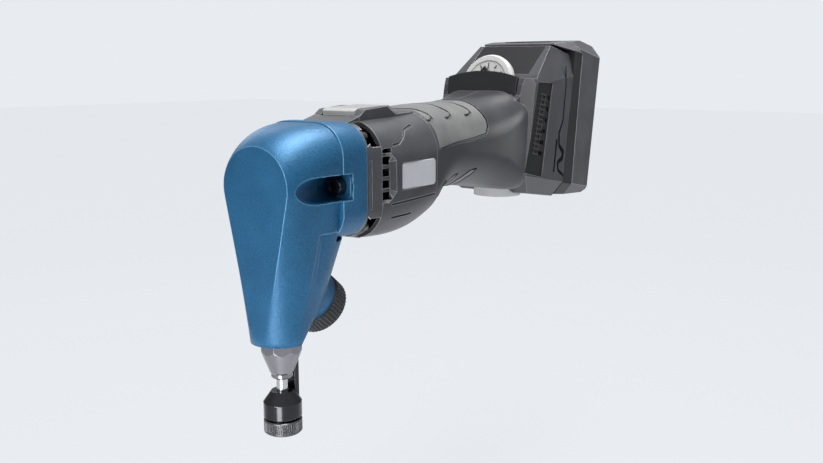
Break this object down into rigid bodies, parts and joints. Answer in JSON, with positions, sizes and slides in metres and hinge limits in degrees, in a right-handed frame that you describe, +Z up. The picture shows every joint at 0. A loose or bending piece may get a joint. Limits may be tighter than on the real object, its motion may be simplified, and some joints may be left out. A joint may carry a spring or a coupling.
{
  "type": "cordless nibbler",
  "caption": "Cordless sheet-metal nibbler: cast gear head with a punch and die below, motor case and grip behind it, and a slide-on battery at the rear.",
  "frame": {"origin": "on the punch axis, in the lower face of the die's lock ring", "axes": "+Z up the punch axis, +X from the head back to the battery, y = 0 is the tool's middle plane"},
  "size_m": [0.3697, 0.076, 0.2284],
  "materials": {
    "blue_paint": "fine textured paint",
    "black_steel": "black oxide",
    "grey_plastic": "moulded glass-filled nylon",
    "plain_aluminium": "die cast",
    "stator_iron": "laminated iron with copper windings",
    "pale_label": "printed film",
    "soft_grey": "soft overmould",
    "board_green": "solder mask",
    "ground_steel": "ground",
    "rotor_iron": "laminated",
    "polished_steel": "polished",
    "dark_steel": "oiled dark steel",
    "knurled_steel": "knurled",
    "black_plastic": "moulded",
    "pale_plastic": "moulded",
    "cell_sleeve": "shrink sleeve"
  },
  "bodies": {
    "housing": {"gear_head": "blue_paint", "head_flange": "blue_paint", "head_screws": "black_steel", "crank_bearings": "ground_steel", "collar": "grey_plastic", "gearbox_plate": "plain_aluminium", "collar_screws": "black_steel", "motor_bearings": "ground_steel", "stator": "stator_iron", "motor_case": "grey_plastic", "label_plate": "pale_label", "handle_left": "grey_plastic", "handle_right": "grey_plastic", "foot_cover": "black_plastic", "top_pad": "soft_grey", "side_pads": "soft_grey", "side_grilles": "black_plastic", "rest_pad": "pale_plastic", "terminal_block": "black_plastic", "controller_board": "board_green", "power_switch": "black_plastic", "handle_screws": "black_steel", "dial_hood": "black_plastic", "speed_pot": "ground_steel"},
    "crank": {"crank_shaft": "ground_steel", "crank_gear": "ground_steel"},
    "rotor_set": {"motor_shaft": "ground_steel", "pinion": "ground_steel", "rotor": "rotor_iron", "fan": "black_plastic"},
    "connecting_rod": {"con_rod": "ground_steel", "eccentric_bearing": "ground_steel", "wrist_pin": "ground_steel"},
    "ram_set": {"ram": "ground_steel", "punch": "polished_steel"},
    "die_set": {"guide_sleeve": "polished_steel", "die_carrier": "dark_steel", "die": "dark_steel"},
    "lock_ring_set": {"lock_ring": "knurled_steel"},
    "clamp": {"clamp_knob": "black_plastic", "clamp_bolt": "ground_steel"},
    "switch": {"slide_switch": "pale_plastic", "switch_rod": "black_plastic"},
    "dial": {"speed_dial": "pale_plastic"},
    "battery": {"battery_case": "black_plastic", "battery_cover": "grey_plastic", "battery_cells": "cell_sleeve", "cell_frames": "black_plastic", "battery_board": "board_green"},
    "release": {"release_button": "black_plastic"}
  },
  "joints": [
    {"name": "crank_turn", "type": "hinge", "parent": "housing", "child": "crank", "pos_m": [0.025, 0, 0.1331], "axis": [1, 0, 0], "continuous": true},
    {"name": "rotor_turn", "type": "hinge", "parent": "housing", "child": "rotor_set", "pos_m": [0.07, 0, 0.1541], "axis": [1, 0, 0], "continuous": true},
    {"name": "rod_turn", "type": "hinge", "parent": "crank", "child": "connecting_rod", "pos_m": [0, 0, 0.1361], "axis": [1, 0, 0], "continuous": true},
    {"name": "punch_stroke", "type": "slide", "parent": "housing", "child": "ram_set", "axis": [0, 0, 1], "range_m": [-0.006, 0]},
    {"name": "die_swivel", "type": "hinge", "parent": "housing", "child": "die_set", "pos_m": [0, 0, 0.0681], "axis": [0, 0, 1], "continuous": true},
    {"name": "lock_ring_turn", "type": "hinge", "parent": "die_set", "child": "lock_ring_set", "pos_m": [0, 0, 0.0031], "axis": [0, 0, 1], "continuous": true},
    {"name": "clamp_knob_turn", "type": "hinge", "parent": "housing", "child": "clamp", "pos_m": [0.0313, 0, 0.0695], "axis": [0.766, 0, -0.6428], "range_deg": [0, 180]},
    {"name": "switch_slide", "type": "slide", "parent": "housing", "child": "switch", "axis": [-1, 0, 0], "range_m": [0, 0.006]},
    {"name": "speed_dial_turn", "type": "hinge", "parent": "housing", "child": "dial", "pos_m": [0.23025, 0, 0.19615], "axis": [-0.9421, 0, 0.3355], "range_deg": [0, 270]},
    {"name": "release_press", "type": "slide", "parent": "battery", "child": "release", "axis": [-0.1668, 0, -0.986], "range_m": [0, 0.002], "stiffness_N_per_m": 1500, "springref_m": -0.001},
    {"name": "battery_slide", "type": "slide", "parent": "housing", "child": "battery", "axis": [0.1668, 0, 0.986], "range_m": [0, 0.1]}
  ],
  "couplings": [
    {"joint": "rotor_turn", "follows": "crank_turn", "ratio": -5},
    {"joint": "rod_turn", "follows": "crank_turn", "ratio": -1}
  ]
}
